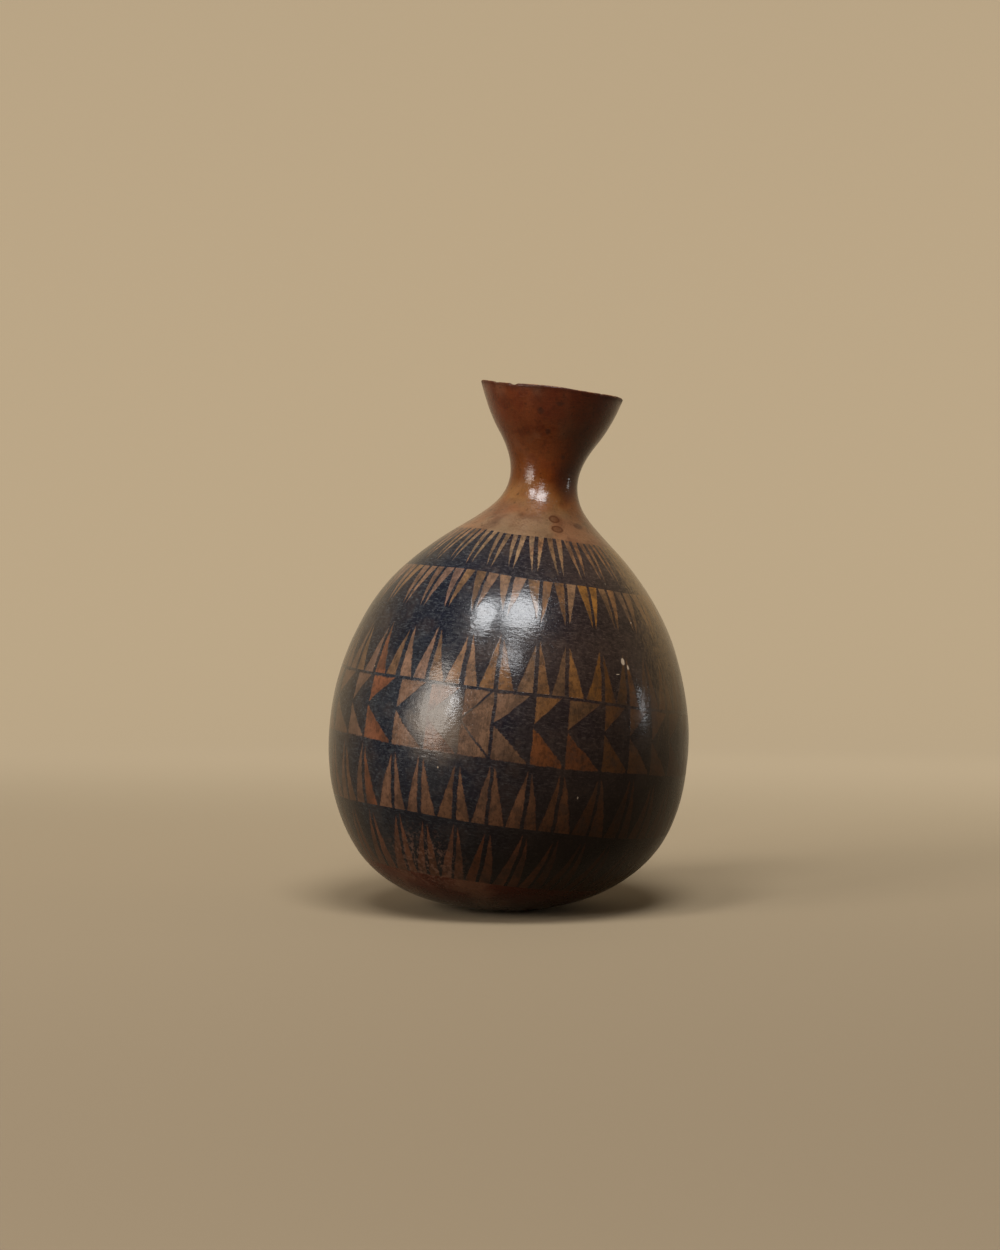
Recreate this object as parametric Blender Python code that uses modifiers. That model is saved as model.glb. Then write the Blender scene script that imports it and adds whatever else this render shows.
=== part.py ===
"""A dried bottle gourd: one grown shell, hollow, its neck cut open at a flared mouth.

Metres, +Z up. The origin lies on the surface that the gourd stands on, under the middle of its
outline. The gourd leans to +X on the small flat spot that it was rubbed to underneath. Its own
axis runs from the low point of the bowl up through the neck, and heights along that axis start
at the bowl's low point. Turns round it start at -Y and go towards +X.
"""

import math

import bmesh
import bpy
from mathutils import Matrix, Vector

# Driving sizes
WIDEST_RADIUS = 0.1106
WIDEST_HEIGHT = 0.1055
MOUTH_RADIUS = 0.0444
MOUTH_HEIGHT = 0.3217
LEAN = math.radians(7.6)
FLAT_SPOT_DEPTH = 0.0008

# Below the widest level the outline is a superellipse: 2 would be an ellipse, and more is squarer
BOWL_SQUARENESS = 2.316

# Above it the outline is a smooth chain of knots: height, radius and slope
SHOULDER_KNOTS = [
    (WIDEST_HEIGHT, WIDEST_RADIUS, 0.0),
    (0.1699, 0.0964, -0.42),
    (0.2287, 0.0497, -1.24),
    (0.2511, 0.0259, -0.65),
    (0.2925, 0.0311, 0.67),
    (MOUTH_HEIGHT, MOUTH_RADIUS, 0.30),
]

# The axis isn't straight: height, sideways offset in the plane of the lean, and slope
AXIS_KNOTS = [
    (0.0, -0.0095, 0.36),
    (0.060, 0.0012, 0.0),
    (0.190, -0.0008, 0.0),
    (0.262, 0.0011, 0.0),
    (MOUTH_HEIGHT, -0.0012, -0.05),
]

# The wall is thick round the bowl and thin in the neck
BOWL_WALL = 0.006
NECK_WALL = 0.004
WALL_THINS_FROM = 0.185
WALL_THINS_TO = 0.250
RIM_ROUNDING = 0.0012

# The bowl is a little out of round, most at its widest level
OUT_OF_ROUND = 0.005

# The saw cut at the mouth slants down to the front and waves a little
MOUTH_SLANT = 0.0029
MOUTH_SLANT_TURN = math.radians(-5)
MOUTH_WAVES = [(0.00030, 3, 0.6), (0.00025, 5, 2.1)]
CUT_REACHES_DOWN = 0.030

# Fineness of the mesh; the rings above the widest level lie closer together towards the mouth
SEGMENTS = 60
RING_CROWDING = 0.35
MERGE_DISTANCE = 0.00001
SHARP_EDGE = math.radians(40)
BOWL_RINGS = 11
OUTER_RINGS_ABOVE = 24
INNER_RINGS_ABOVE = 15
INNER_BOWL_RINGS = 6


def chain(knots, at):
    """The value at one height of a smooth chain of (height, value, slope) knots, and its slope."""
    low, high = next(
        ((a, b) for a, b in zip(knots, knots[1:]) if at <= b[0]), (knots[-2], knots[-1])
    )
    span = high[0] - low[0]
    t = (at - low[0]) / span
    value = (
        (2 * t**3 - 3 * t**2 + 1) * low[1]
        + (t**3 - 2 * t**2 + t) * span * low[2]
        + (3 * t**2 - 2 * t**3) * high[1]
        + (t**3 - t**2) * span * high[2]
    )
    slope = (
        (6 * t**2 - 6 * t) * (low[1] - high[1]) / span
        + (3 * t**2 - 4 * t + 1) * low[2]
        + (3 * t**2 - 2 * t) * high[2]
    )
    return value, slope


def smooth_step(low, high, value):
    t = min(max((value - low) / (high - low), 0.0), 1.0)
    return t * t * (3 - 2 * t)


def bowl_point(turn):
    """(radius, height, outward normal) on the bowl: turn 0 is its low point, a quarter turn its widest."""
    power = 2 / BOWL_SQUARENESS
    radius = WIDEST_RADIUS * math.sin(turn) ** power
    below = WIDEST_HEIGHT * math.cos(turn) ** power
    across = (radius / WIDEST_RADIUS) ** (BOWL_SQUARENESS - 1) / WIDEST_RADIUS
    down = (below / WIDEST_HEIGHT) ** (BOWL_SQUARENESS - 1) / WIDEST_HEIGHT
    normal = Vector((across, -down)).normalized()
    return radius, WIDEST_HEIGHT - below, normal


def shoulder_point(height):
    """(radius, height, outward normal) on the outline above the widest level."""
    radius, slope = chain(SHOULDER_KNOTS, height)
    return radius, height, Vector((1.0, -slope)).normalized()


def outline(bowl_rings, rings_above):
    """Points of the outer side from the low point to the mouth, packed closer in the neck."""
    points = [bowl_point(math.pi / 2 * i / bowl_rings) for i in range(bowl_rings)]
    rise = MOUTH_HEIGHT - WIDEST_HEIGHT
    for i in range(rings_above + 1):
        share = i / rings_above
        climbed = rise * share * (1 + RING_CROWDING * (1 - share))
        points.append(shoulder_point(WIDEST_HEIGHT + climbed))
    return points


def wall_at(height):
    return BOWL_WALL + (NECK_WALL - BOWL_WALL) * smooth_step(
        WALL_THINS_FROM, WALL_THINS_TO, height
    )


def shell_profile():
    """The section of the wall, up the inner side and down the outer side."""
    inner = []
    for radius, height, normal in outline(INNER_BOWL_RINGS, INNER_RINGS_ABOVE):
        wall = wall_at(height)
        inner.append((max(radius - wall * normal.x, 0.0), height - wall * normal.y))
    outer = [(radius, height) for radius, height, _ in outline(BOWL_RINGS, OUTER_RINGS_ABOVE)]
    inner[0] = (0.0, BOWL_WALL)
    outer[0] = (0.0, 0.0)

    # The cut edge is level across the wall, with its two corners eased
    outer_lip, inner_lip = outer[-1][0], inner[-1][0]
    flare = RIM_ROUNDING * SHOULDER_KNOTS[-1][2]
    rim = [
        (inner_lip - flare, MOUTH_HEIGHT - RIM_ROUNDING),
        (inner_lip + RIM_ROUNDING, MOUTH_HEIGHT),
        (outer_lip - RIM_ROUNDING, MOUTH_HEIGHT),
        (outer_lip - flare, MOUTH_HEIGHT - RIM_ROUNDING),
    ]
    below_rim = MOUTH_HEIGHT - 2 * RIM_ROUNDING
    inner = [point for point in inner if point[1] < below_rim]
    outer = [point for point in outer if point[1] < below_rim]
    return inner + rim + outer[::-1]


def turned_shell(name):
    """The profile turned about Z into a closed mesh, by a Screw modifier that is then applied."""
    points = [(radius, 0.0, height) for radius, height in shell_profile()]
    edges = [(i, i + 1) for i in range(len(points) - 1)]
    profile = bpy.data.meshes.new(name + "_profile")
    profile.from_pydata(points, edges, [])
    turned = bpy.data.objects.new(name + "_profile", profile)
    bpy.context.scene.collection.objects.link(turned)
    screw = turned.modifiers.new("Turn", "SCREW")
    screw.axis = "Z"
    screw.steps = screw.render_steps = SEGMENTS
    screw.use_merge_vertices = True
    screw.merge_threshold = MERGE_DISTANCE
    graph = bpy.context.evaluated_depsgraph_get()
    mesh = bpy.data.meshes.new_from_object(turned.evaluated_get(graph))
    mesh.name = name
    bpy.data.objects.remove(turned)
    bpy.data.meshes.remove(profile)
    return mesh


def grow(point):
    """Moves a point of the turned shell to where the grown, cut and leaning gourd has it."""
    radius = math.hypot(point.x, point.y)
    turn = math.atan2(point.x, -point.y)
    height = point.z

    slant = -MOUTH_SLANT * math.cos(turn - MOUTH_SLANT_TURN)
    waves = sum(size * math.sin(count * turn + start) for size, count, start in MOUTH_WAVES)
    rise = (slant + waves) * smooth_step(MOUTH_HEIGHT - CUT_REACHES_DOWN, MOUTH_HEIGHT, height)
    height += rise
    radius += rise * SHOULDER_KNOTS[-1][2]

    bulge = math.exp(-(((height - WIDEST_HEIGHT) / WIDEST_HEIGHT) ** 2))
    radius *= 1 + OUT_OF_ROUND * math.sin(2 * turn) * bulge

    offset, _ = chain(AXIS_KNOTS, height)
    upright = Vector((radius * math.sin(turn) + offset, -radius * math.cos(turn), height))
    return Matrix.Rotation(LEAN, 3, "Y") @ upright


def rub_flat_spot(shape):
    """Sets the lowest point just below the surface, cuts off what is under it and closes the cut."""
    lowest = min(vertex.co.z for vertex in shape.verts)
    for vertex in shape.verts:
        vertex.co.z -= lowest + FLAT_SPOT_DEPTH
    everything = shape.verts[:] + shape.edges[:] + shape.faces[:]
    cut = bmesh.ops.bisect_plane(
        shape, geom=everything, plane_co=(0, 0, 0), plane_no=(0, 0, -1), clear_outer=True
    )
    edge_of_cut = [item for item in cut["geom_cut"] if isinstance(item, bmesh.types.BMEdge)]
    bmesh.ops.holes_fill(shape, edges=edge_of_cut, sides=0)


def centre(shape):
    """Brings the middle of the outline, seen from above, over the origin."""
    for axis in (0, 1):
        places = [vertex.co[axis] for vertex in shape.verts]
        middle = (min(places) + max(places)) / 2
        for vertex in shape.verts:
            vertex.co[axis] -= middle


def gourd_skin():
    """Smoked and burnished rind, red-brown where it isn't blackened."""
    material = bpy.data.materials.new("gourd_rind")
    material.use_nodes = True
    shader = material.node_tree.nodes["Principled BSDF"]
    shader.inputs["Base Color"].default_value = (0.13, 0.055, 0.028, 1.0)
    shader.inputs["Roughness"].default_value = 0.32
    shader.inputs["Metallic"].default_value = 0.0
    return material


def build_gourd(collection):
    mesh = turned_shell("gourd_shell")
    shape = bmesh.new()
    shape.from_mesh(mesh)
    for vertex in shape.verts:
        vertex.co = grow(vertex.co)
    rub_flat_spot(shape)
    centre(shape)
    shape.to_mesh(mesh)
    shape.free()
    mesh.shade_smooth()
    mesh.set_sharp_from_angle(angle=SHARP_EDGE)
    mesh.materials.append(gourd_skin())
    gourd = bpy.data.objects.new("gourd_shell", mesh)
    collection.objects.link(gourd)


def main():
    for item in list(bpy.data.objects):
        bpy.data.objects.remove(item)
    collection = bpy.data.collections.new("dried_bottle_gourd")
    bpy.context.scene.collection.children.link(collection)
    build_gourd(collection)


main()
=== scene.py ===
"""The look of a dried bottle gourd: a smoked, burnished rind with bands of scraped triangles.

Metres, in the part's own frame: +Z up, -Y towards the camera. The form repeats the part's outline
on a finer mesh. Turns round the gourd start at -Y and go towards +X, and heights run along the
gourd's own leaning axis from the low point of its bowl.
"""

import math

import bpy
import numpy as np
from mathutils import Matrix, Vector, noise


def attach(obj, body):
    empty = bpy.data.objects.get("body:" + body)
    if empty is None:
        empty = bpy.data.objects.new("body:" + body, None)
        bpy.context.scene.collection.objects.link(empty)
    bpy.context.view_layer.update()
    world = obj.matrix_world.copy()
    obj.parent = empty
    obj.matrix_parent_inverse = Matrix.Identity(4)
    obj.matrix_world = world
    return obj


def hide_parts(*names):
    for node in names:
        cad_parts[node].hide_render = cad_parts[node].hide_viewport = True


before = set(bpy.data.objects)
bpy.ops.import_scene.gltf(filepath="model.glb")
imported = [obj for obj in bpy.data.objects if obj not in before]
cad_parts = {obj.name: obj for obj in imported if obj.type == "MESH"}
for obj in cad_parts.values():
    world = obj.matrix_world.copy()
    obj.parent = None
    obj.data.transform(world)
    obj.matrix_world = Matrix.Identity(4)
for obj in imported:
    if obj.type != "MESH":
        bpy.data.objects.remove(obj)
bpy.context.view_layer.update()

SEED = 11

# Driving sizes, as in the part
WIDEST_RADIUS = 0.1106
WIDEST_HEIGHT = 0.1055
MOUTH_RADIUS = 0.0444
MOUTH_HEIGHT = 0.3217
LEAN = math.radians(7.6)
FLAT_SPOT_DEPTH = 0.0008
BOWL_SQUARENESS = 2.316
SHOULDER_KNOTS = [
    (WIDEST_HEIGHT, WIDEST_RADIUS, 0.0),
    (0.1699, 0.0964, -0.42),
    (0.2287, 0.0497, -1.24),
    (0.2511, 0.0259, -0.65),
    (0.2925, 0.0311, 0.67),
    (MOUTH_HEIGHT, MOUTH_RADIUS, 0.30),
]
AXIS_KNOTS = [
    (0.0, -0.0095, 0.36),
    (0.060, 0.0012, 0.0),
    (0.190, -0.0008, 0.0),
    (0.262, 0.0011, 0.0),
    (MOUTH_HEIGHT, -0.0012, -0.05),
]
BOWL_WALL = 0.006
NECK_WALL = 0.004
WALL_THINS_FROM = 0.185
WALL_THINS_TO = 0.250
RIM_ROUNDING = 0.0012
OUT_OF_ROUND = 0.005
MOUTH_SLANT = 0.0029
MOUTH_SLANT_TURN = math.radians(-5)
MOUTH_WAVES = [(0.00030, 3, 0.6), (0.00025, 5, 2.1)]
CUT_REACHES_DOWN = 0.030
NICKS_FADE_FROM, NICKS_FADE_TO = 0.0005, 0.004
# A nick is given by its turn, its width as a turn and its depth in metres
SEEN_NICK = (math.radians(-34.5), math.radians(3.2), 0.0008)
OTHER_NICKS = 16
NICK_DEGREES = (0.9, 3.0)
NICK_DEPTHS = (0.00015, 0.0006)
# Unevenness of the skin and of the inside, as (depth in metres, fineness)
OUTER_UNEVENNESS = [(0.00022, 38), (0.00007, 120)]
INNER_LUMPS = (0.00045, 90)
# What is taken off the noise that makes them, so that they stay under the true form
STAYS_UNDER = 0.8

# Fineness of the mesh
COLUMNS = 400
RING_SPACING = 0.0026
NECK_RINGS_CLOSER = 0.8
UNDERSIDE_RINGS = 14
INNER_SPACING = 0.0055
INNER_FINER_ABOVE = 0.22
INNER_FLOOR_RINGS = 19
INNERMOST_TURN = 0.05
SMALLEST_RING = 0.001
LEAST_ACROSS = 0.2
# The first rings of the cut edge that still belong to the skin outside
RINGS_OF_SKIN = 2

# Zones of the mesh, by the number of their material, and the two maps that it carries
OUTSIDE, RIM, INSIDE = 0, 1, 2
PATTERN_MAP, CLEAN_MAP = "pattern", "OFBake"
ROOM_IN_CLEAN_MAP = {OUTSIDE: 0.66, RIM: 0.02, INSIDE: 0.30}
CLEAN_MAP_MARGIN = 0.01

# Relief is given in millimetres. The Mix node numbers its sockets for colours like this
RELIEF_UNIT = 0.001
MIX_COLOUR_INPUTS, MIX_COLOUR_OUTPUT = (0, 6, 7), 2

# Tints that the painted shade multiplies the plain skin and the scraped rind by, and the tint of the faint
# dust
SHADE_ON_SKIN = (0.66, 0.50, 0.26, 1.0)
SHADE_ON_SCRAPED = (0.52, 0.43, 0.30, 1.0)
DUST_COLOUR = (1.0, 0.84, 0.62, 1.0)

# The pattern's bands, bottom to top: name, lower and upper limit, base line and tip line
BANDS = [
    ("feet", 0.0240, 0.0600, 0.0240, 0.0560),
    ("lower", 0.0600, 0.0970, 0.0600, 0.0930),
    ("arrows", 0.0970, 0.1370, 0.0970, 0.1370),
    ("upper", 0.1370, 0.1720, 0.1375, 0.1655),
    ("collar", 0.1720, 0.2025, 0.2025, 0.1790),
    ("spikes", 0.2025, 0.2285, 0.2285, 0.2070),
]
ARROW_BAND, SPIKE_BAND, NECK_BAND = 3, 6, 7

# Turns, in degrees, of the stem between the two triangles of a pair, or of the edges of the arrow cells
STEMS = {
    "feet": [-48.0, -35.5, -25.0, -14.2, -3.6, 8.6, 18.9],
    "lower": [-50.3, -36.8, -26.8, -15.0, -4.3, 6.8, 16.5, 29.0],
    "arrows": [-60.0, -51.0, -38.5, -27.0, -15.7, -5.8, 6.0, 16.3, 28.5, 38.0, 47.8],
    "upper": [-51.5, -40.2, -28.8, -17.0, -6.4, 5.8, 15.8, 28.2, 37.7, 47.5],
    "collar": [-50.5, -41.0, -29.8, -18.8, -7.2, 5.6, 16.0, 26.8, 36.4, 45.8],
    "spikes": [-52.0, -41.5, -30.5, -19.8, -9.2, 2.3, 14.5, 26.0, 37.0],
}
MEAN_PITCH = 10.9
PITCH_SPREAD = 0.8
FURTHEST_ACROSS = 1.9
NECK_PLACE_AT_MOUTH = 0.96
UNFILLED_CELL_EDGE = -15.7
# Row and number of each triangle that is plainly golden or orange, and cells with an orange foot
GOLDEN_HALVES = [(4, 13), (5, 13), (5, 14)]
ORANGE_HALVES = [(4, 0), (3, -3), (2, 0), (1, 7)]
ORANGE_FEET_OF_CELLS = [2, 3]

# Marks, as (turn in degrees, own height, size, stretch along the gourd), in metres
RING_STAINS = [(15.3, 0.2409, 0.0027, 1.0), (16.6, 0.2349, 0.0031, 0.75)]
SMUDGES = [(40.5, 0.2388, 0.0036, 0.6), (-1.8, 0.2925, 0.0016, 1.3), (-9.9, 0.3049, 0.0020, 1.0),
           (7.0, 0.3110, 0.0024, 0.5), (38.0, 0.2660, 0.0075, 1.6), (24.0, 0.2790, 0.0012, 1.2)]
CHIPS = [(36.9, 0.1622, 0.0012, 1.9), (38.9, 0.1592, 0.0006, 2.8), (34.2, 0.1545, 0.0011, 0.22),
         (37.5, 0.2060, 0.0003, 1.0), (55.8, 0.2044, 0.0004, 0.8), (45.0, 0.1851, 0.0004, 1.0),
         (-21.0, 0.0890, 0.0003, 1.4), (22.5, 0.0820, 0.0004, 1.6), (-52.0, 0.1405, 0.0003, 1.0)]
# Patches, as (turn in degrees, own height, size)
SCUFFS = (-26.0, 0.0310, 0.020)
SHOULDER_SCRATCHES = (-16.5, 0.2368, 0.0065)
# A patch where the black is rubbed paler, which also carries the left lamps' highlight painted on it
RUBBED_AND_LIT = (-21.5, 0.1150, 0.018)
SPIKE_SLANT = math.radians(1.6)

# The bands' lines wander, as (metres up and down, waves round, turn gained per metre up, start)
BAND_WAVES = [(0.0007, 1, 9, 0.4), (0.00045, 3, 50, 0.0), (0.0003, 7, 80, 1.0)]
WAVES_BEGIN = (0.012, 0.045)
WAVES_END = (0.235, 0.262)

# Camera, from the photograph: the table's ellipse gives its height, distance and lens
CAMERA_ASIDE = -0.0052
CAMERA_DISTANCE = 1.3179
CAMERA_HEIGHT = 0.1737
LENS = 61.7
SENSOR = 36.0

# The floor and the wall that it sweeps up into
FLOOR_RADIUS = 1.7
SWEEP_RADIUS = 0.9
SWEEP_STEPS = 12
WALL_TOP = 3.0
STAGE_SIDES = 96
WALL_GLOW = 0.266
SIDE_GLOW = 0.10
GLOW_COLOUR = (1.06, 0.86, 0.58, 1.0)

LIGHT_TARGET = Vector((0.0, 0.0, 0.16))
LIGHT_DISTANCE = 2.1
DAY, WARM = (0.96, 0.98, 1.0), (1.0, 0.93, 0.84)
# Lamps, as (name, direction from the gourd, size in metres, brightness, colour)
LAMPS = [
    ("top_right", (0.078, -0.540, 0.838), (0.86, 0.84), 23.5, DAY),
    ("top_left", (-0.275, -0.500, 0.821), (0.46, 0.62), 26, DAY),
    ("low_window", (-0.015, -0.815, 0.579), (0.58, 0.26), 15, DAY),
    ("left_wall", (-0.760, -0.615, 0.160), (1.30, 1.70), 2.2, WARM),
    ("left_glow", (-0.730, -0.635, 0.235), (0.82, 1.20), 8.5, WARM),
    ("left_window", (-0.582, -0.768, 0.278), (0.22, 0.44), 18, DAY),
    ("right_strip", (0.986, 0.045, 0.120), (0.06, 0.28), 45, DAY),
]
ROOM_COLOUR = (1.0, 0.93, 0.83, 1.0)
ROOM_BRIGHTNESS = 0.20


def smooth_step(low, high, value):
    t = np.clip((np.asarray(value, float) - low) / (high - low), 0.0, 1.0)
    return t * t * (3 - 2 * t)


def chain(knots, at):
    """Values at the given heights of a smooth chain of (height, value, slope) knots, and its slopes."""
    at = np.asarray(at, float)
    table = np.array(knots)
    index = np.clip(np.searchsorted(table[:, 0], at, side="left") - 1, 0, len(table) - 2)
    low, high = table[index], table[index + 1]
    span = high[..., 0] - low[..., 0]
    t = (at - low[..., 0]) / span
    value = (
        (2 * t**3 - 3 * t**2 + 1) * low[..., 1]
        + (t**3 - 2 * t**2 + t) * span * low[..., 2]
        + (3 * t**2 - 2 * t**3) * high[..., 1]
        + (t**3 - t**2) * span * high[..., 2]
    )
    slope = (
        (6 * t**2 - 6 * t) * (low[..., 1] - high[..., 1]) / span
        + (3 * t**2 - 4 * t + 1) * low[..., 2]
        + (3 * t**2 - 2 * t) * high[..., 2]
    )
    return value, slope


def outline_at(height):
    """(radius, normal's radial part, normal's upward part) of the outer side at one height."""
    if height >= WIDEST_HEIGHT:
        radius, slope = chain(SHOULDER_KNOTS, height)
        across, up = 1.0, -slope
    else:
        below = (WIDEST_HEIGHT - height) / WIDEST_HEIGHT
        share = (1 - below**BOWL_SQUARENESS) ** (1 / BOWL_SQUARENESS)
        radius = WIDEST_RADIUS * share
        across = share ** (BOWL_SQUARENESS - 1) / WIDEST_RADIUS
        up = -(below ** (BOWL_SQUARENESS - 1)) / WIDEST_HEIGHT
    length = math.hypot(across, up)
    return float(radius), float(across / length), float(up / length)


def wall_at(height):
    thinner = smooth_step(WALL_THINS_FROM, WALL_THINS_TO, height)
    return float(BOWL_WALL + (NECK_WALL - BOWL_WALL) * thinner)


class Section:
    """The closed section of the wall as rings: up the outer side, over the rim and down the inner side."""

    def __init__(self):
        self.rings = []
        self.strips = []

    def ring(self, radius, height, across, up):
        self.rings.append((radius, height, across, up))

    def outer_ring(self, height):
        radius, across, up = outline_at(height)
        self.ring(radius, height, across, up)

    def strip(self, zone, band=0, low=0.0, high=0.0):
        """Says what the faces between the last two rings belong to, and their place across the band."""
        self.strips.append((zone, band, low, high))


def across_band(band, height):
    """Place in a band: 0 on its base line and 1 on its tip line."""
    _, _, _, base, tip = BANDS[band - 1]
    return min(max((height - base) / (tip - base), 0.0), FURTHEST_ACROSS)


def up_the_neck(height):
    """Place in the plain neck: 0 where the pattern ends and nearly 1 at the mouth."""
    return NECK_PLACE_AT_MOUTH * (height - BANDS[-1][2]) / (MOUTH_HEIGHT - BANDS[-1][2])


def heights_between(low, high, spacing):
    count = max(2, round((high - low) / spacing))
    return [low + (high - low) * (i + 1) / count for i in range(count)]


def underside_heights():
    """Heights up the bowl's underside, spaced evenly along its curve rather than in height."""
    power = 2 / BOWL_SQUARENESS
    last = math.acos((1 - BANDS[0][1] / WIDEST_HEIGHT) ** (1 / power))
    turns = [last * (i + 1) / UNDERSIDE_RINGS for i in range(UNDERSIDE_RINGS)]
    return [WIDEST_HEIGHT * (1 - math.cos(turn) ** power) for turn in turns]


def shell_section():
    """The rings from the low point up the outer side, over the cut edge and down inside."""
    section = Section()
    for height in underside_heights():
        section.outer_ring(height)
        section.strip(OUTSIDE)
    for number, (_, low, high, _, _) in enumerate(BANDS, 1):
        last = low
        for height in heights_between(low, high, RING_SPACING * band_slope(low, high)):
            section.outer_ring(height)
            section.strip(OUTSIDE, number, across_band(number, last), across_band(number, height))
            last = height
    last, top = BANDS[-1][2], MOUTH_HEIGHT - 2 * RIM_ROUNDING
    for height in heights_between(last, top, RING_SPACING * NECK_RINGS_CLOSER):
        section.outer_ring(height)
        section.strip(OUTSIDE, NECK_BAND, up_the_neck(last), up_the_neck(height))
        last = height
    rim_rings(section)
    inner_rings(section)
    return section


def band_slope(low, high):
    """Share of a band's length along the wall that is height, so that rings are as far apart on a slope."""
    return math.sqrt(1 - outline_at((low + high) / 2)[2] ** 2)


def inner_point(height):
    radius, across, up = outline_at(height)
    wall = wall_at(height)
    return radius - wall * across, height - wall * up, across, up


def rim_rings(section):
    """The saw cut: level across the wall, its corners eased by handling."""
    outer = outline_at(MOUTH_HEIGHT)[0]
    inner = inner_point(MOUTH_HEIGHT)[0]
    eased, top = RIM_ROUNDING, MOUTH_HEIGHT
    for number, (radius, height, across, up) in enumerate((
        (outer - eased * 0.30, top - eased, 1.0, 0.0),
        (outer - eased * 0.45, top - eased * 0.45, 0.8, 0.6),
        (outer - eased * 0.85, top - eased * 0.08, 0.3, 0.95),
        (outer - eased * 1.4, top, 0.0, 1.0),
        ((outer + inner) / 2, top + eased * 0.02, 0.0, 1.0),
        (inner + eased * 1.2, top, 0.0, 1.0),
        (inner + eased * 0.5, top - eased * 0.12, -0.4, 0.9),
        (inner + eased * 0.05, top - eased * 0.6, -0.8, 0.6),
        (inner - eased * 0.3, top - eased * 1.3, -1.0, 0.0),
    )):
        section.ring(radius, height, across, up)
        if number < RINGS_OF_SKIN:
            section.strip(OUTSIDE, NECK_BAND, up_the_neck(height), up_the_neck(height))
        else:
            section.strip(RIM)


def inner_rings(section):
    """Down the inner side: closer together in the neck, then evenly along the curve of the bowl."""
    heights = [MOUTH_HEIGHT - 2.6 * RIM_ROUNDING]
    while heights[-1] > WIDEST_HEIGHT:
        in_bowl = heights[-1] < INNER_FINER_ABOVE
        heights.append(heights[-1] - (INNER_SPACING if in_bowl else INNER_SPACING / 2))
    power = 2 / BOWL_SQUARENESS
    turns = np.linspace(math.pi / 2, INNERMOST_TURN, INNER_FLOOR_RINGS + 1)[1:]
    heights += [WIDEST_HEIGHT * (1 - math.cos(turn) ** power) for turn in turns]
    for height in heights:
        radius, lower, across, up = inner_point(height)
        section.ring(max(radius, SMALLEST_RING), lower, -across, -up)
        section.strip(INSIDE)


def mouth_cut(turn):
    """How far the cut edge stands above or below the mouth's mean height."""
    cut = -MOUTH_SLANT * np.cos(turn - MOUTH_SLANT_TURN)
    for size, count, start in MOUTH_WAVES:
        cut = cut + size * np.sin(count * turn + start)
    return cut


def mouth_nicks(turn):
    """Small chips along the cut edge: one that the camera sees, and a few seeded ones."""
    draw = np.random.default_rng(SEED)
    nicks = [SEEN_NICK]
    for _ in range(OTHER_NICKS):
        nicks.append((
            draw.uniform(-math.pi, math.pi),
            math.radians(draw.uniform(*NICK_DEGREES)),
            draw.uniform(*NICK_DEPTHS),
        ))
    depth = 0.0
    for place, width, deep in nicks:
        apart = (turn - place + math.pi) % (2 * math.pi) - math.pi
        depth = depth + deep * np.exp(-((apart / width) ** 4))
    return depth


def grow(radius, turn, height):
    """Places points of the turned shell where the grown, cut and leaning gourd has them."""
    near_mouth = smooth_step(MOUTH_HEIGHT - CUT_REACHES_DOWN, MOUTH_HEIGHT, height)
    at_edge = smooth_step(MOUTH_HEIGHT - NICKS_FADE_TO, MOUTH_HEIGHT - NICKS_FADE_FROM, height)
    rise = mouth_cut(turn) * near_mouth - mouth_nicks(turn) * at_edge
    height = height + rise
    radius = radius + rise * SHOULDER_KNOTS[-1][2]
    bulge = np.exp(-(((height - WIDEST_HEIGHT) / WIDEST_HEIGHT) ** 2))
    radius = radius * (1 + OUT_OF_ROUND * np.sin(2 * turn) * bulge)
    offset, _ = chain(AXIS_KNOTS, height)
    x = radius * np.sin(turn) + offset
    y = -radius * np.cos(turn)
    across = x * math.cos(LEAN) + height * math.sin(LEAN)
    upright = height * math.cos(LEAN) - x * math.sin(LEAN)
    return np.stack([across, y, upright], axis=-1)


def band_waves(turn, height):
    """The bands were drawn by hand: their lines wander up and down a little round the gourd."""
    inside = smooth_step(*WAVES_BEGIN, height) * (1 - smooth_step(*WAVES_END, height))
    wave = 0.0
    for size, count, gain, start in BAND_WAVES:
        wave = wave + size * np.sin(count * turn + start + gain * height)
    return inside * wave


def stem_turns(name):
    """Turns of all the stems of one band: those that the camera sees, and evenly spread ones behind."""
    seen = np.radians(STEMS[name])
    gap = 2 * math.pi - (seen[-1] - seen[0])
    count = round(gap / math.radians(MEAN_PITCH))
    draw = np.random.default_rng(SEED + len(name) + len(seen))
    behind = seen[-1] + gap * np.arange(1, count) / count
    behind = behind + np.radians(draw.normal(0, PITCH_SPREAD, count - 1))
    return np.concatenate([seen, behind])


def column_places(name, turn):
    """Place round the band: for pairs, even on a stem and odd between pairs; for cells, one a cell."""
    stems = stem_turns(name)
    around = np.concatenate([stems - 2 * math.pi, stems, stems + 2 * math.pi])
    number = np.arange(len(around), dtype=float) - len(stems)
    if name == "arrows":
        number -= STEMS[name].index(UNFILLED_CELL_EDGE)
        return np.interp(turn, around, number)
    middles = (around[1:] + around[:-1]) / 2
    knots = np.sort(np.concatenate([around, middles]))
    return np.interp(turn, knots, 2 * number[0] + np.arange(len(knots)))


def sunk(place, zone):
    """How far a point lies below the true form, in metres and negative: dents outside, lumps inside."""
    if zone == INSIDE:
        depth, fineness = INNER_LUMPS
        return depth * (noise.fractal(place * fineness, 1.0, 2.0, 3) - STAYS_UNDER)
    return sum(
        depth * (noise.noise(place * fineness) - STAYS_UNDER) for depth, fineness in OUTER_UNEVENNESS
    )


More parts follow.
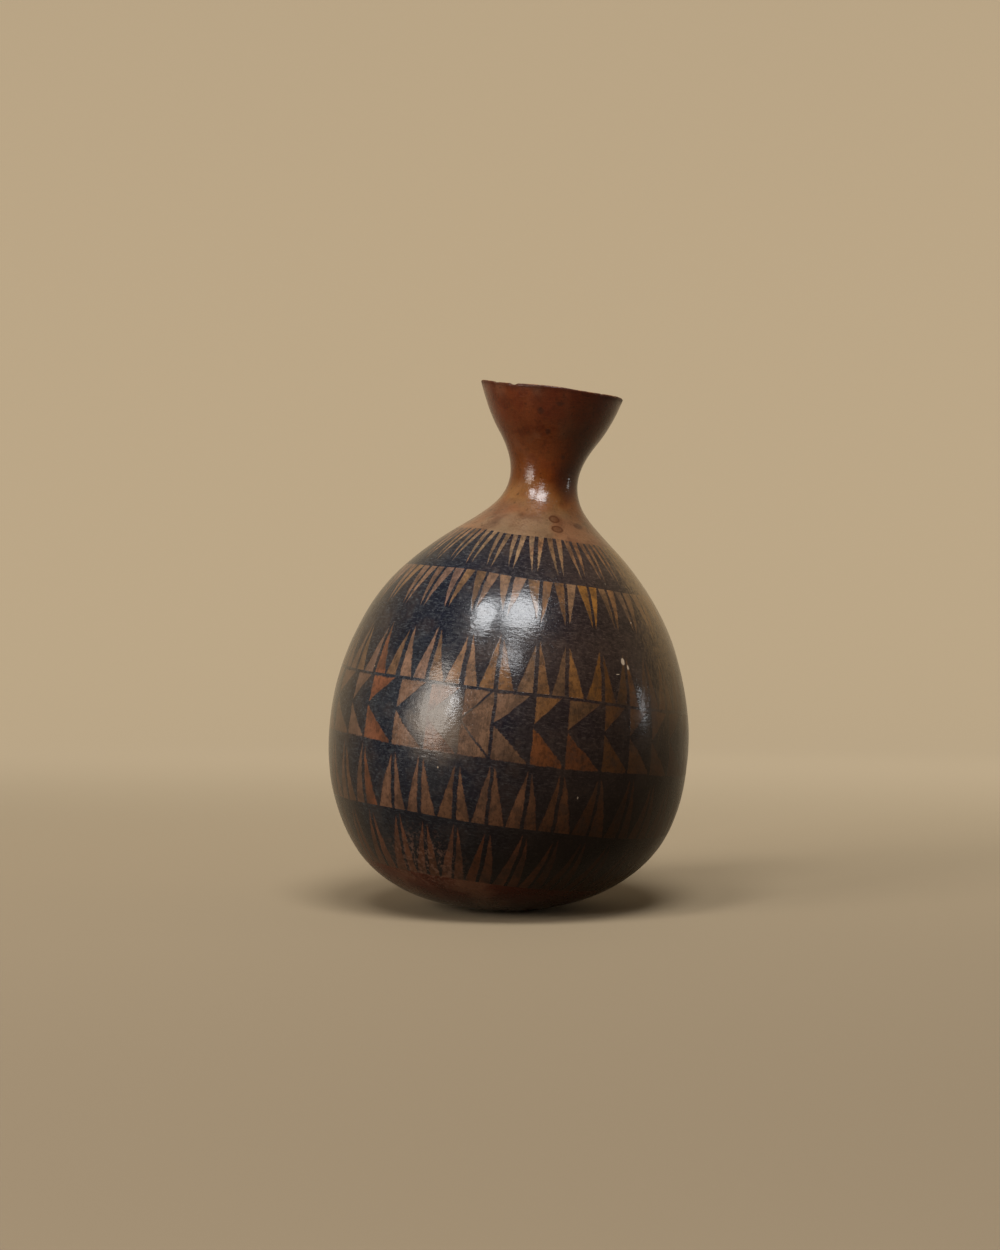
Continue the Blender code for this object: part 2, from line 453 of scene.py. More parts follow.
def shell_points(section, turn):
    """Every ring's points in turn, then the two low points that close the shell outside and inside."""
    radius, height, across, up = np.array(section.rings).T[:, :, None]
    outside = np.array([zone == OUTSIDE for zone, *_ in section.strips])[:, None]
    wave = band_waves(turn[None, :], height) * outside
    # How the radius changes with height, held back where the wall is nearly level
    slope = -up / np.maximum(across, LEAST_ACROSS)
    points = grow(radius + wave * slope, turn[None, :], height + wave)
    normal = np.stack(np.broadcast_arrays(
        across * np.sin(turn), -across * np.cos(turn), up + 0 * turn
    ), axis=-1)
    for i, (zone, *_) in enumerate(section.strips):
        for j in range(COLUMNS):
            points[i, j] += normal[i, j] * sunk(Vector(points[i, j]), zone)
    poles = grow(np.zeros(2), np.zeros(2), np.array([0.0, BOWL_WALL]))
    return np.concatenate([points.reshape(-1, 3), poles])


def set_down(points):
    """Rubs the flat spot and brings the middle of the outline over the origin. Returns the way it moved."""
    middle = (points[:, :2].min(axis=0) + points[:, :2].max(axis=0)) / 2
    shift = -np.array([*middle, points[:, 2].min() + FLAT_SPOT_DEPTH])
    points += shift
    points[:, 2] = np.maximum(points[:, 2], 0.0)
    return shift


def on_skin(turn_degrees, height, shift):
    """The place on the set-down gourd of a turn and an own height."""
    return Vector(grow(outline_at(height)[0], math.radians(turn_degrees), height) + shift)


def shell_faces(section, turn):
    """Every face from the low point outside to the one inside: its corners, its zone and its map places."""
    rings = len(section.rings)
    outer_pole, inner_pole = rings * COLUMNS, rings * COLUMNS + 1
    round_share = turn / (2 * math.pi) + 0.5
    band_places = {i: column_places(name, turn) for i, (name, *_) in enumerate(BANDS, 1)}
    lengths = section_lengths(section)
    slant = SPIKE_SLANT / math.radians(MEAN_PITCH / 2)

    faces, zones, pattern_map, clean_map = [], [], [], []
    for i, (zone, band, low, high) in enumerate(section.strips + [(INSIDE, 0, 0.0, 0.0)]):
        below, above = (i - 1) * COLUMNS, i * COLUMNS
        places = band_places.get(band, round_share)
        for j in range(COLUMNS):
            k = (j + 1) % COLUMNS
            if i == 0:
                corners = [(outer_pole, j, 0), (above + k, j + 1, 1), (above + j, j, 1)]
            elif i == rings:
                corners = [(below + j, j, 0), (below + k, j + 1, 0), (inner_pole, j, 1)]
            else:
                corners = [
                    (below + j, j, 0), (below + k, j + 1, 0), (above + k, j + 1, 1), (above + j, j, 1)
                ]
            faces.append([vertex for vertex, _, _ in corners])
            zones.append(zone)
            for _, column, level in corners:
                across = (low, high)[level]
                lean = slant * (1 - across) if band == SPIKE_BAND else 0.0
                pattern_map.append((places[column] + lean, 2 * band + across))
                clean_map.append((round_share[column], lengths[i + level]))
    return faces, zones, {PATTERN_MAP: pattern_map, CLEAN_MAP: clean_map}


def build_shell():
    """One closed mesh with a pattern map, a clean unwrap and a material for each zone."""
    section = shell_section()
    turn = np.linspace(-math.pi, math.pi, COLUMNS + 1)
    points = shell_points(section, turn[:-1])
    shift = set_down(points)
    faces, zones, maps = shell_faces(section, turn)

    mesh = bpy.data.meshes.new("gourd_shell_fine")
    mesh.from_pydata(points.tolist(), [], faces)
    for name, places in maps.items():
        layer = mesh.uv_layers.new(name=name)
        layer.data.foreach_set("uv", np.array(places, dtype=np.float32).ravel())
    mesh.polygons.foreach_set("material_index", zones)
    mesh.shade_smooth()
    for material in (rind_material(shift), cut_rim_material(), inside_material()):
        mesh.materials.append(material)
    mesh.update()
    piece = bpy.data.objects.new("gourd_shell_fine", mesh)
    bpy.context.scene.collection.objects.link(piece)
    return piece


def section_lengths(section):
    """Place of each ring along the section, from 0 to 1, with two thirds given to the outer side."""
    spots = [(0.0, 0.0)] + [(ring[0], ring[1]) for ring in section.rings] + [(0.0, BOWL_WALL)]
    steps = [math.dist(a, b) for a, b in zip(spots, spots[1:])]
    zones = [strip[0] for strip in section.strips] + [INSIDE]
    room = ROOM_IN_CLEAN_MAP
    total = {zone: sum(s for s, z in zip(steps, zones) if z == zone) for zone in room}
    place, places = CLEAN_MAP_MARGIN, [CLEAN_MAP_MARGIN]
    for step, zone in zip(steps, zones):
        place += room[zone] * step / total[zone]
        places.append(place)
    return places


class Field:
    """A number that varies over a surface. Arithmetic on it adds Math nodes to the material."""

    def __init__(self, nodes, socket):
        self.nodes = nodes
        self.socket = socket

    def __add__(self, other):
        return self.nodes.math("ADD", self, other)

    def __sub__(self, other):
        return self.nodes.math("SUBTRACT", self, other)

    def __rsub__(self, other):
        return self.nodes.math("SUBTRACT", other, self)

    def __mul__(self, other):
        return self.nodes.math("MULTIPLY", self, other)

    def __truediv__(self, other):
        return self.nodes.math("DIVIDE", self, other)

    def __abs__(self):
        return self.nodes.math("ABSOLUTE", self)

    __radd__ = __add__
    __rmul__ = __mul__


class Nodes:
    """Builds one material's nodes, linking them as they are made."""

    def __init__(self, name):
        self.material = bpy.data.materials.new(name)
        self.material.use_nodes = True
        self.tree = self.material.node_tree
        self.shader = self.tree.nodes["Principled BSDF"]
        self.place = self.add("TexCoord").outputs["Object"]

    def add(self, kind, **settings):
        node = self.tree.nodes.new("ShaderNode" + kind)
        for key, value in settings.items():
            setattr(node, key, value)
        return node

    def feed(self, socket, value):
        if isinstance(value, Field):
            value = value.socket
        if isinstance(value, bpy.types.NodeSocket):
            self.tree.links.new(value, socket)
        else:
            socket.default_value = value

    def math(self, operation, *values):
        node = self.add("Math", operation=operation)
        for socket, value in zip(node.inputs, values):
            self.feed(socket, value)
        return Field(self, node.outputs[0])

    def floor(self, value):
        return self.math("FLOOR", value)

    def step(self, value, softness, edge=0.0):
        """0 below the edge and 1 above it, with a soft change between."""
        node = self.add("MapRange", interpolation_type="SMOOTHSTEP")
        self.feed(node.inputs["Value"], value)
        self.feed(node.inputs["From Min"], edge - softness)
        self.feed(node.inputs["From Max"], edge + softness)
        return Field(self, node.outputs["Result"])

    def above(self, number, edge):
        """1 where a whole number is over the edge, and 0 elsewhere."""
        return self.step(number, 0.1, edge)

    def below(self, number, edge):
        return self.step(edge - number, 0.1)

    def equal(self, number, other):
        """1 where two whole numbers are the same, and 0 elsewhere."""
        return self.step(0.5 - abs(number - other), 0.1)

    def choose(self, share, first, second):
        """The first number where share is 0, and the second where it is 1."""
        return first + (second - first) * share

    def noise(self, scale, detail=2.0, roughness=0.5, vector=None):
        """Smooth noise from 0 to 1, mostly near a half."""
        node = self.add("TexNoise")
        self.feed(node.inputs["Vector"], vector or self.place)
        node.inputs["Scale"].default_value = scale
        node.inputs["Detail"].default_value = detail
        node.inputs["Roughness"].default_value = roughness
        return Field(self, node.outputs[0])

    def draw(self, first, second):
        """Three random numbers from 0 to 1 for each pair of whole numbers."""
        pair = self.add("CombineXYZ")
        self.feed(pair.inputs[0], first)
        self.feed(pair.inputs[1], second)
        white = self.add("TexWhiteNoise", noise_dimensions="3D")
        self.feed(white.inputs["Vector"], pair.outputs[0])
        parts = self.add("SeparateColor")
        self.feed(parts.inputs[0], white.outputs["Color"])
        return [Field(self, output) for output in parts.outputs]

    def stretched(self, sideways, along, tilt=0.0):
        """The place on the surface, scaled across and along the gourd's own axis, or one tilted from it."""
        turned = self.add("VectorRotate", rotation_type="Y_AXIS")
        self.feed(turned.inputs["Vector"], self.place)
        turned.inputs["Angle"].default_value = tilt - LEAN
        scaled = self.add("VectorMath", operation="MULTIPLY")
        self.feed(scaled.inputs[0], turned.outputs[0])
        scaled.inputs[1].default_value = (sideways, sideways, along)
        return scaled.outputs[0]

    def own_place(self, shift):
        """The three numbers of the place in the gourd's own frame, before it leaned and was set down."""
        away = self.add("VectorMath", operation="SUBTRACT")
        self.feed(away.inputs[0], self.place)
        away.inputs[1].default_value = shift
        upright = self.add("VectorRotate", rotation_type="Y_AXIS")
        self.feed(upright.inputs["Vector"], away.outputs[0])
        upright.inputs["Angle"].default_value = -LEAN
        return self.parts(upright.outputs[0])

    def parts(self, vector):
        """The three numbers of a place."""
        node = self.add("SeparateXYZ")
        self.feed(node.inputs[0], vector)
        return [Field(self, output) for output in node.outputs]

    def distance(self, point, stretch=1.0):
        """Metres from a point, where a stretch over 1 makes what is drawn by it longer up and down."""
        away = self.add("VectorMath", operation="SUBTRACT")
        self.feed(away.inputs[0], self.place)
        away.inputs[1].default_value = point
        scaled = self.add("VectorMath", operation="MULTIPLY")
        self.feed(scaled.inputs[0], away.outputs[0])
        scaled.inputs[1].default_value = (1.0, 1.0, 1 / stretch)
        length = self.add("VectorMath", operation="LENGTH")
        self.feed(length.inputs[0], scaled.outputs[0])
        return Field(self, length.outputs["Value"])

    def scaled(self, colour, share):
        node = self.add("VectorMath", operation="SCALE")
        self.feed(node.inputs[0], colour)
        self.feed(node.inputs["Scale"], share)
        return node.outputs[0]

    def mix(self, share, first, second, blend="MIX"):
        """The first colour where share is 0, and the second, or what it's blended to, where it is 1."""
        node = self.add("Mix", data_type="RGBA", blend_type=blend)
        for number, value in zip(MIX_COLOUR_INPUTS, (share, first, second)):
            self.feed(node.inputs[number], value)
        return node.outputs[MIX_COLOUR_OUTPUT]

    def ramp(self, value, stops):
        """A colour that changes along a number: stops are (number, colour)."""
        node = self.add("ValToRGB")
        self.feed(node.inputs[0], value)
        elements = node.color_ramp.elements
        while len(elements) < len(stops):
            elements.new(0.5)
        for element, (position, colour) in zip(elements, stops):
            element.position = position
            element.color = colour
        return node.outputs[0]

    def finish(self, colour, roughness, relief_mm):
        """Joins the fields to the shader. The relief is a height in millimetres."""
        bump = self.add("Bump")
        bump.inputs["Distance"].default_value = RELIEF_UNIT
        self.feed(bump.inputs["Height"], relief_mm)
        self.feed(self.shader.inputs["Base Color"], colour)
        self.feed(self.shader.inputs["Roughness"], roughness)
        self.feed(self.shader.inputs["Normal"], bump.outputs[0])
        self.feed(self.shader.inputs["Coat Normal"], bump.outputs[0])
        return self.material


def paint(red, green, blue):
    """A colour as it is seen on a screen, from 0 to 255, turned into the shader's own scale."""
    shares = [value / 255 for value in (red, green, blue)]
    linear = [s / 12.92 if s <= 0.04045 else ((s + 0.055) / 1.055) ** 2.4 for s in shares]
    return (*linear, 1.0)


def scraped_pairs(n, around, across, band, wobble):
    """Two triangles back to back on a stem of black: 1 where the rind is scraped."""
    half = n.floor(around)
    tall, narrow, wide = n.draw(half, band)
    top = 0.93 + 0.14 * tall
    # Widths are shares of the way from the middle of the stem to the middle of the gap between pairs
    from_stem = n.math("PINGPONG", around + wobble, 1.0)
    spikes = n.above(band, SPIKE_BAND - 0.5)
    stem = 0.10 + 0.07 * narrow + 0.08 * spikes
    corner = 0.90 + 0.06 * wide - 0.08 * spikes
    climbed = across / top
    outer_edge = corner + (stem - corner) * climbed
    inside = n.step(from_stem - stem, 0.03) * n.step(outer_edge - from_stem, 0.035)
    return inside * n.step(top - across, 0.02)


def scraped_cells(n, around, across, band, wobble):
    """Cells with a black arrowhead that points back round the gourd; one is only outlined."""
    cell = n.floor(around)
    shift, _, _ = n.draw(cell, band)
    along = n.math("FRACT", around + wobble * 0.5)
    middle = 0.50 + 0.06 * shift
    # How far a point lies inside the arrowhead's slanting edges, as a share of the cell
    arrow = along - 1.96 * abs(across - middle)
    filled = n.step(arrow, 0.02)
    outlined = n.step(0.045 - abs(arrow), 0.018)
    black = n.choose(n.equal(cell, 0), filled, outlined)
    edge = n.step(0.05 - n.math("MINIMUM", along, 1 - along), 0.014)
    top_line = n.step(across, 0.010, 0.955)
    bottom_line = n.step(-1 * across, 0.010, -0.02)
    return (1 - black) * (1 - edge) * (1 - top_line) * (1 - bottom_line)


class Surface:
    """Places on the rind and textures of it that several of its colours share."""

    def __init__(self, n, shift):
        self.side, _, self.up = n.parts(n.place)
        aside, deep, self.height = n.own_place(shift)
        # From -1 at the -X side to 1 at the +X side, round the gourd's own axis
        self.to_right = aside / n.math("SQRT", aside * aside + deep * deep)
        self.under_shoulder = n.step(-1 * self.height, 0.025, -0.180)
        self.mottle = n.noise(60, 4.0, 0.6)
        self.smears = n.noise(105, 4.0, 0.7)
        self.grain = n.noise(480, 3.0, 0.65)
        self.wrinkles = n.noise(1.0, 3.0, 0.6, n.stretched(230, 640))
        self.streaks = n.noise(1.0, 3.0, 0.6, n.stretched(700, 60))
        slanting = n.stretched(1500, 90, math.radians(24))
        self.scratches = n.step(n.noise(1.0, 2.0, 0.5, slanting), 0.05, 0.66)
        # Painted shade: the low side and the +X side are made darkest
        self.painted_low_shade = n.step(0.6 * self.side - self.up + 0.06 * (n.noise(18, 2.0) - 0.5), 0.075, -0.092)
        self.painted_side_shade = n.step(self.to_right + 0.5 * (n.noise(30, 3.0) - 0.5), 0.40, 0.25)


class Pattern:
    """Where a point lies in the bands, and whether it is scraped. The lines waver as a hand does."""

    def __init__(self, n):
        # The map's second number is twice the band's number plus the place across the band
        self.around, raw, _ = n.parts(n.add("UVMap", uv_map=PATTERN_MAP).outputs[0])
        waver = n.noise(130, 2.0) - 0.5
        ragged = n.noise(900, 2.0) - 0.5
        wobble = 0.16 * waver + 0.14 * ragged
        band = n.floor(raw * 0.5)
        self.band = band
        self.across = raw - 2 * band + 0.05 * (n.noise(110, 2.0) - 0.5) + 0.04 * ragged
        self.inside = n.above(band, 0.5) * n.below(band, SPIKE_BAND + 0.5)
        self.in_neck = n.above(band, SPIKE_BAND + 0.5)
        self.at_mouth = n.step(band + self.across, 0.035, NECK_BAND + 0.935)
        pairs = scraped_pairs(n, self.around, self.across, band, wobble)
        cells = scraped_cells(n, self.around, self.across, band, wobble)
        self.scraped = n.choose(n.equal(band, ARROW_BAND), pairs, cells) * self.inside


def rind_material(shift):
    """Smoked rind, burnished by hand: red-brown in the neck, tan at the shoulder, banded below."""
    n = Nodes("smoked_rind")
    rind = Surface(n, shift)
    pattern = Pattern(n)

    # Painted haze at both sides: there the pattern is faded and turned brown, and a paler painted
    # reflection streaks the +X side
    painted_side_haze = n.step(abs(rind.to_right) + 0.3 * (n.noise(45, 4.0, 0.6) - 0.5), 0.16, 0.80)
    painted_side_haze = pattern.inside * (0.15 + 0.85 * rind.under_shoulder) * painted_side_haze
    painted_right_sheen = n.step(rind.to_right + 0.4 * (rind.streaks - 0.5), 0.15, 0.86)
    painted_right_sheen = pattern.inside * painted_right_sheen * (1 - rind.painted_low_shade)
    scraped = pattern.scraped * (1 - 0.3 * painted_side_haze)
    black = pattern.inside - scraped

    skin = skin_colour(n, rind)
    colour = n.mix(scraped, skin, scraped_colour(n, rind, pattern, skin))
    colour = n.mix(black, colour, smoke_colour(n, rind, shift))
    # Painted haze browns both sides
    colour = n.mix(0.32 * painted_side_haze, colour, paint(60, 48, 35))
    # Painted reflection along the +X side
    colour = n.mix(0.75 * painted_right_sheen, colour, paint(114, 88, 54))
    colour = n.mix(0.75 * pattern.at_mouth, colour, paint(38, 17, 10))
    colour = add_marks(n, rind, colour, shift)
    colour = n.scaled(colour, 0.30 + (0.65 * rind.mottle + 0.35 * rind.streaks))

    relief = (0.12 + 0.09 * pattern.in_neck) * rind.wrinkles + 0.03 * rind.grain + 0.02 * black
    relief = relief - 0.012 * rind.streaks - 0.02 * rind.scratches
    roughness = 0.27 + 0.07 * scraped + 0.18 * (rind.mottle - 0.5)
    roughness = roughness + 0.06 * rind.scratches + 0.25 * pattern.at_mouth
    # Hands have polished the rind, but hardly in the painted low shade, and less low down and at the mouth
    polished = (0.38 - 0.36 * rind.painted_low_shade) * (1 - 0.6 * n.step(-1 * rind.up, 0.045, -0.080))
    n.feed(n.shader.inputs["Coat Weight"], polished * (1 - 0.9 * pattern.at_mouth))
    n.shader.inputs["Coat Roughness"].default_value = 0.09
    n.shader.inputs["IOR"].default_value = 1.15
    n.shader.inputs["Sheen Weight"].default_value = 0.03
    n.shader.inputs["Sheen Roughness"].default_value = 0.40
    n.shader.inputs["Sheen Tint"].default_value = DUST_COLOUR
    return n.finish(colour, roughness, relief)


def skin_colour(n, rind):
    """The bare rind from the low point up to the mouth, clouded with redder and darker patches."""
    clouds = n.noise(38, 4.0, 0.55)
    blush = n.noise(24, 3.0, 0.6, n.stretched(1.0, 0.6))
    spots = n.noise(170, 3.0, 0.6)
    freckles = n.noise(330, 2.0, 0.5)
    along = rind.height / MOUTH_HEIGHT + 0.06 * (clouds - 0.5) + 0.03 * (rind.mottle - 0.5)
    # Dark red-brown towards the low point: partly the rind's own colour, partly painted shade of the
    # underside
    skin = n.ramp(along, [
        (0.00, paint(38, 14, 8)),
        (0.07, paint(58, 22, 11)),
        (0.15, paint(66, 29, 16)),
        (0.68, paint(114, 92, 68)),
        (0.745, paint(98, 74, 54)),
        (0.785, paint(100, 67, 36)),
        (0.82, paint(80, 40, 10)),
        (0.89, paint(84, 39, 13)),
        (1.00, paint(81, 34, 14)),
    ])
    burnt = n.step(rind.height, 0.02, 0.27) * n.step(n.noise(70, 4.0, 0.65), 0.06, 0.56)
    skin = n.mix(0.7 * burnt, skin, (0.66, 0.46, 0.42, 1.0), "MULTIPLY")
    redder = n.mix(0.5, n.scaled(skin, 0.55), paint(62, 22, 11))
    skin = n.mix(0.5 * n.step(clouds, 0.07, 0.54), skin, redder)
    skin = n.mix(0.7 * n.step(blush, 0.06, 0.53), skin, (0.98, 0.70, 0.60, 1.0), "MULTIPLY")
    paler = n.mix(0.7, skin, paint(104, 76, 58))
    skin = n.mix(0.5 * n.step(-1 * blush, 0.07, -0.42), skin, paler)
    skin = n.mix(0.45 * n.step(rind.streaks, 0.08, 0.56), skin, n.scaled(skin, 0.55))
    skin = n.mix(0.45 * n.step(spots, 0.05, 0.64), skin, n.scaled(skin, 0.5))
    skin = n.mix(0.6 * n.step(freckles, 0.03, 0.69), skin, n.scaled(skin, 0.3))
    on_shoulder = n.step(rind.height, 0.02, 0.175) * n.step(-1 * rind.height, 0.015, -0.243)
    # Painted shade on the +X side, weaker on the shoulder
    return n.mix(rind.painted_side_shade * (1 - 0.6 * on_shoulder), skin, SHADE_ON_SKIN, "MULTIPLY")


def is_one_of(n, band, number, places):
    """1 on the triangles or cells that are listed by row and number."""
    found = 0.0
    for row, listed in places:
        found = n.math("COMPARE", number + 100 * band, 100 * row + listed, 0.25) + found
    return found


def scraped_colour(n, rind, pattern, skin):
    """Bare triangles: each its own brown, the topmost row as the skin above it, and all of them dirty."""
    band = pattern.band
    number = n.floor(pattern.around)
    pick, level, _ = n.draw(number, band + 0.5)
    brown = n.ramp(0.55 * pick + 0.45 * n.step(rind.to_right, 0.5, -0.2), [
        (0.00, paint(93, 71, 61)),
        (0.30, paint(92, 69, 54)),
        (0.60, paint(92, 68, 46)),
        (0.85, paint(96, 66, 40)),
        (1.00, paint(102, 70, 38)),
    ])
    brown = n.mix(0.6 * n.below(band, 2.5), brown, paint(86, 59, 45))
    brown = n.mix(0.5 * n.below(band, 1.5), brown, paint(86, 47, 29))
    golden = is_one_of(n, band, number, GOLDEN_HALVES)
    feet = is_one_of(n, band, number, [(ARROW_BAND, cell) for cell in ORANGE_FEET_OF_CELLS])
    feet = feet * n.step(-1 * pattern.across, 0.05, -0.5)
    orange = is_one_of(n, band, number, ORANGE_HALVES) + feet
    brown = n.mix(0.65 * orange, brown, paint(98, 51, 24))
    brown = n.mix(0.65 * golden, brown, paint(116, 76, 25))
    # Painted shade darkens the triangles on the low side
    brown = n.mix(0.82 * rind.painted_low_shade, brown, paint(46, 26, 17))
    brown = n.mix(0.75 * n.above(band, SPIKE_BAND - 0.5), brown, skin)
    bare = n.scaled(brown, 0.80 + 0.42 * level)

    # Painted shade on the +X side, mostly under the shoulder
    painted_side_shade = rind.painted_side_shade * (0.2 + 0.8 * rind.under_shoulder)
    bare = n.mix(painted_side_shade, bare, SHADE_ON_SCRAPED, "MULTIPLY")
    dirty = n.mix(0.35, n.scaled(bare, 0.5), paint(44, 36, 32))
    bare = n.mix(0.65 * n.step(rind.smears, 0.07, 0.53), bare, dirty)
    specks = n.step(0.5 * rind.grain + 0.5 * rind.streaks, 0.05, 0.53)
    bare = n.mix(0.6 * specks, bare, n.scaled(bare, 0.4))
    bare = n.mix(0.4 * n.step(-1 * rind.smears, 0.06, -0.44), bare, n.scaled(bare, 1.35))
    return n.mix(0.5 * rind.scratches, bare, n.scaled(bare, 0.35))


def smoke_colour(n, rind, shift):
    """The blackened ground, thinned in specks: brown-black on the +X side, and bluish on the -X side as
    painted daylight from the left lamps.
    """
    clouds = n.noise(26, 3.0)
    # Painted light: bluish daylight on the -X side's black
    share = n.step(rind.side + 0.08 * (clouds - 0.5), 0.07, 0.005)
    smoke = n.mix(share, paint(14, 18, 28), paint(31, 21, 19))
    thin = n.mix(share, paint(48, 51, 53), paint(52, 40, 33))
    smoke = n.mix(0.22 * n.step(clouds, 0.08, 0.52), smoke, thin)
    mottled = (0.25 + 0.25 * share) * n.step(rind.mottle, 0.07, 0.57)
    smoke = n.mix(mottled, smoke, paint(47, 35, 28))
    # Painted glints: the black is paler where the wrinkles rise, as if they caught the light
    smoke = n.mix(0.3 * n.step(rind.wrinkles, 0.06, 0.58), smoke, thin)
    lines = n.noise(1.0, 3.0, 0.65, n.stretched(260, 1600))
    smoke = n.mix(0.5 * n.step(lines, 0.05, 0.61), smoke, n.scaled(thin, 2.0))
    smoke = n.mix(0.3 * n.step(rind.grain, 0.06, 0.60), smoke, n.scaled(thin, 1.4))
    smoke = n.mix(0.5 * n.step(-1 * rind.grain, 0.06, -0.42), smoke, n.scaled(smoke, 0.4))
    # Painted shade darkens the black on the low side
    smoke = n.mix(0.85 * rind.painted_low_shade, smoke, paint(15, 9, 7))
    # Partly real thinning of the black, partly painted highlight of the left lamps
    rubbed_and_lit = in_patch(n, RUBBED_AND_LIT, shift, 0.012, 0.02 * (rind.smears - 0.5))
    return n.mix(0.5 * rubbed_and_lit, smoke, paint(98, 82, 66))


def in_patch(n, patch, shift, softness, uneven=0.0):
    """1 in a round patch of the skin and 0 away from it. The uneven part adds metres to its size."""
    turn, height, size = patch
    return n.step(size + uneven - n.distance(on_skin(turn, height, shift)), softness)


def add_marks(n, rind, colour, shift):
    """Ring stains and smudges on the shoulder, chips to the pale rind, and a scuffed patch low down."""
    # The marks' edges are uneven by a fraction of a millimetre
    soft = 0.0008 * (rind.grain - 0.5)
    for turn, height, size, stretch in RING_STAINS:
        away = n.distance(on_skin(turn, height, shift), stretch) + soft
        ring = n.step(0.0007 - abs(away - size), 0.0005)
        disc = n.step(size - away, 0.0006)
        colour = n.mix(n.math("MAXIMUM", 0.85 * ring, 0.45 * disc), colour, paint(56, 29, 14))
    for turn, height, size, stretch in SMUDGES:
        away = n.distance(on_skin(turn, height, shift), stretch) + soft
        colour = n.mix(0.6 * n.step(size - away, 0.5 * size), colour, paint(34, 15, 10))
    chips = 0.0
    for turn, height, size, stretch in CHIPS:
        away = n.distance(on_skin(turn, height, shift), stretch) + 1.4 * soft
        chips = n.math("MAXIMUM", n.step(size - away, 0.0003), chips)
    colour = n.mix(0.8 * chips, colour, paint(154, 136, 116))
    slanting = n.stretched(1100, 90, math.radians(-30))
    lines = n.step(n.noise(1.0, 2.0, 0.5, slanting), 0.05, 0.56)
    scratched = in_patch(n, SHOULDER_SCRATCHES, shift, 0.003) * lines
    colour = n.mix(0.5 * scratched, colour, paint(74, 46, 28))
    torn = in_patch(n, SCUFFS, shift, 0.014) * n.step(n.noise(420, 3.0, 0.7), 0.05, 0.55)
    return n.mix(0.42 * torn, colour, paint(108, 80, 68))


def cut_rim_material():
    """The sawn edge: open, corky rind, darkened by smoke and hands."""
    n = Nodes("sawn_rim")
    pores = n.noise(700, 3.0, 0.65)
    patches = n.noise(90, 3.0)
    colour = n.mix(n.step(pores, 0.2, 0.5), paint(46, 26, 15), paint(116, 80, 50))
    colour = n.mix(0.8 * n.step(patches, 0.1, 0.52), colour, paint(44, 24, 14))
    n.shader.inputs["IOR"].default_value = 1.25
    return n.finish(colour, 0.6 + 0.3 * (pores - 0.5), 0.15 * pores)


def inside_material():
    """Dried pulp: pale, fibrous and matt, with darker patches."""
    n = Nodes("dried_pulp")
    fibres = n.noise(1.0, 4.0, 0.6, n.stretched(520, 90))
    lumps = n.noise(80, 4.0, 0.6)
    colour = n.mix(n.step(fibres, 0.3, 0.5), paint(92, 66, 42), paint(158, 128, 88))
    colour = n.mix(0.7 * n.step(lumps, 0.1, 0.54), colour, paint(92, 68, 45))
    return n.finish(colour, 0.75 + 0.3 * (lumps - 0.5), 0.25 * fibres + 0.3 * lumps)


def paper_material():
    """Plain pale paper. Its far side glows a little, so that it keeps one tone behind the gourd."""
    n = Nodes("plain_paper")
    n.material.cycles.emission_sampling = "NONE"
    across, deep, up = n.parts(n.place)
    outward = n.math("SQRT", across * across + deep * deep)
    behind = n.step(deep + 0.5 * outward + 0.3 * across, 1.2, 1.2)
    glow = n.choose(behind, SIDE_GLOW * n.step(up, 0.5, 0.5), WALL_GLOW)
    n.shader.inputs["Emission Color"].default_value = GLOW_COLOUR
    n.feed(n.shader.inputs["Emission Strength"], glow)
    shade = n.mix(n.step(-1 * deep, 0.6, 0.1), paint(129, 113, 88), paint(97, 83, 62))
    return n.finish(shade, 0.9, 0.0)


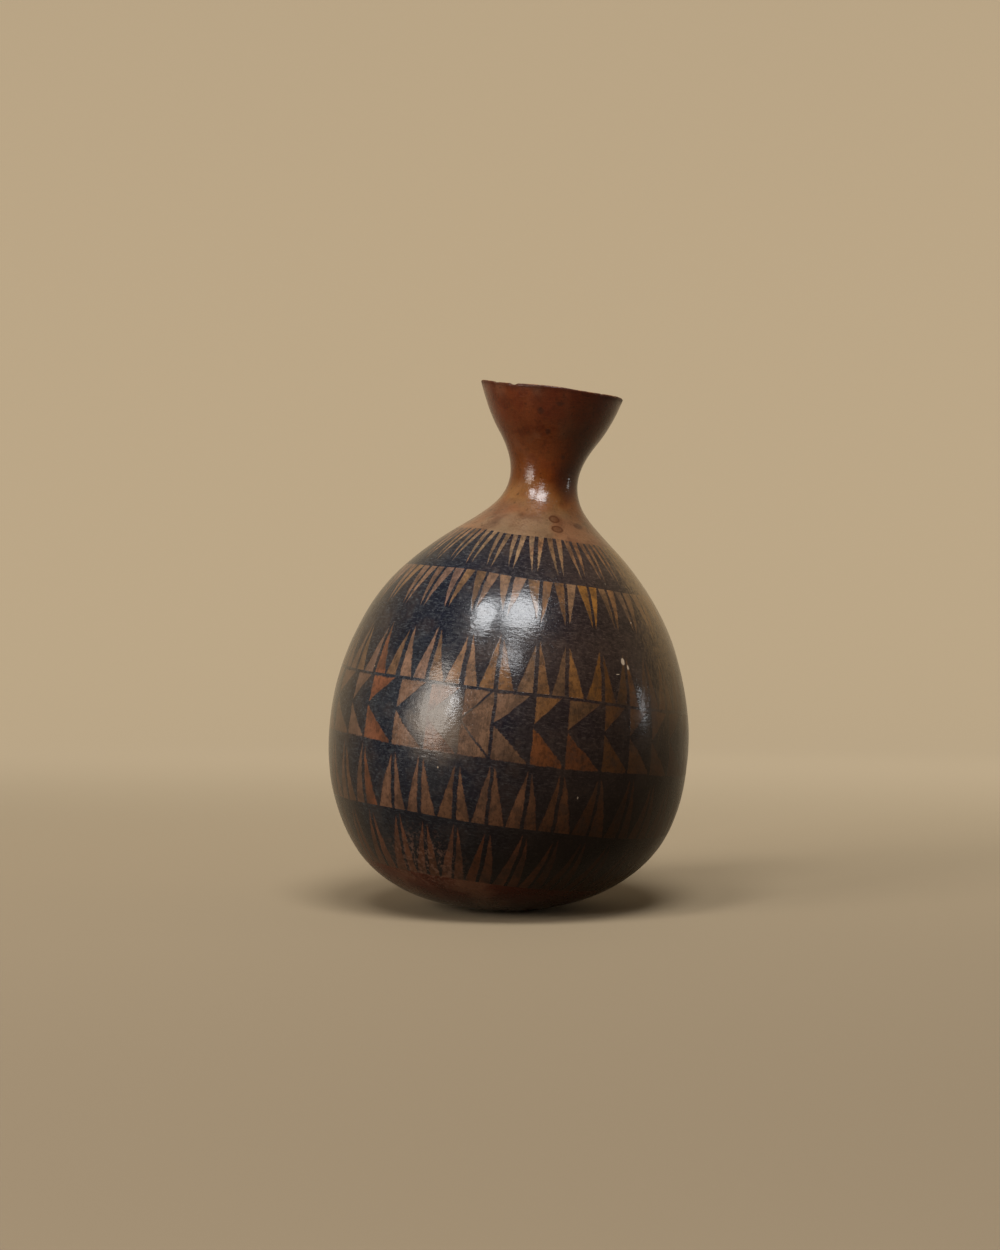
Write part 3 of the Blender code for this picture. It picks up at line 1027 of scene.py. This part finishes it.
def build_stage():
    """A plain pale floor that sweeps up into a plain wall all round."""
    profile = [(FLOOR_RADIUS, 0.0)]
    for i in range(1, SWEEP_STEPS + 1):
        angle = math.pi / 2 * i / SWEEP_STEPS
        radius = FLOOR_RADIUS + SWEEP_RADIUS * math.sin(angle)
        profile.append((radius, SWEEP_RADIUS * (1 - math.cos(angle))))
    profile.append((FLOOR_RADIUS + SWEEP_RADIUS, WALL_TOP))
    points, faces = [(0.0, 0.0, 0.0)], []
    sides = STAGE_SIDES
    for radius, height in profile:
        for i in range(sides):
            turn = 2 * math.pi * i / sides
            points.append((radius * math.sin(turn), -radius * math.cos(turn), height))
    for i in range(sides):
        k = (i + 1) % sides
        faces.append((0, 1 + i, 1 + k))
        for ring in range(len(profile) - 1):
            low, high = 1 + ring * sides, 1 + (ring + 1) * sides
            faces.append((low + i, high + i, high + k, low + k))
    mesh = bpy.data.meshes.new("floor")
    mesh.from_pydata(points, [], faces)
    mesh.shade_smooth()
    mesh.materials.append(paper_material())
    floor = bpy.data.objects.new("floor", mesh)
    bpy.context.scene.collection.objects.link(floor)


def soft_panel(name, direction, size, brightness, colour):
    """A soft oval lamp that faces the gourd and that the camera doesn't see. Its size is in metres."""
    light = bpy.data.lights.new(name, "AREA")
    light.shape = "ELLIPSE"
    light.size, light.size_y = size
    light.energy = brightness * math.pi * size[0] * size[1]
    light.color = colour
    lamp = bpy.data.objects.new(name, light)
    away = Vector(direction).normalized()
    lamp.location = LIGHT_TARGET + away * LIGHT_DISTANCE
    lamp.rotation_euler = away.to_track_quat("Z", "Y").to_euler()
    lamp.visible_camera = False
    bpy.context.scene.collection.objects.link(lamp)


def build_lights():
    """The lamps, and a faint even light from the room."""
    for lamp in LAMPS:
        soft_panel(*lamp)
    world = bpy.data.worlds.new("soft_room")
    world.use_nodes = True
    background = world.node_tree.nodes["Background"]
    background.inputs["Color"].default_value = ROOM_COLOUR
    background.inputs["Strength"].default_value = ROOM_BRIGHTNESS
    bpy.context.scene.world = world


def build_camera():
    data = bpy.data.cameras.new("camera")
    data.lens = LENS
    data.sensor_width = SENSOR
    camera = bpy.data.objects.new("camera", data)
    camera.location = (CAMERA_ASIDE, -CAMERA_DISTANCE, CAMERA_HEIGHT)
    camera.rotation_euler = (math.pi / 2, 0.0, 0.0)
    bpy.context.scene.collection.objects.link(camera)
    bpy.context.scene.camera = camera


build_camera()
build_stage()
build_lights()
shell = build_shell()
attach(shell, "root")
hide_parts("gourd_shell")
bpy.context.scene.view_settings.view_transform = "Standard"
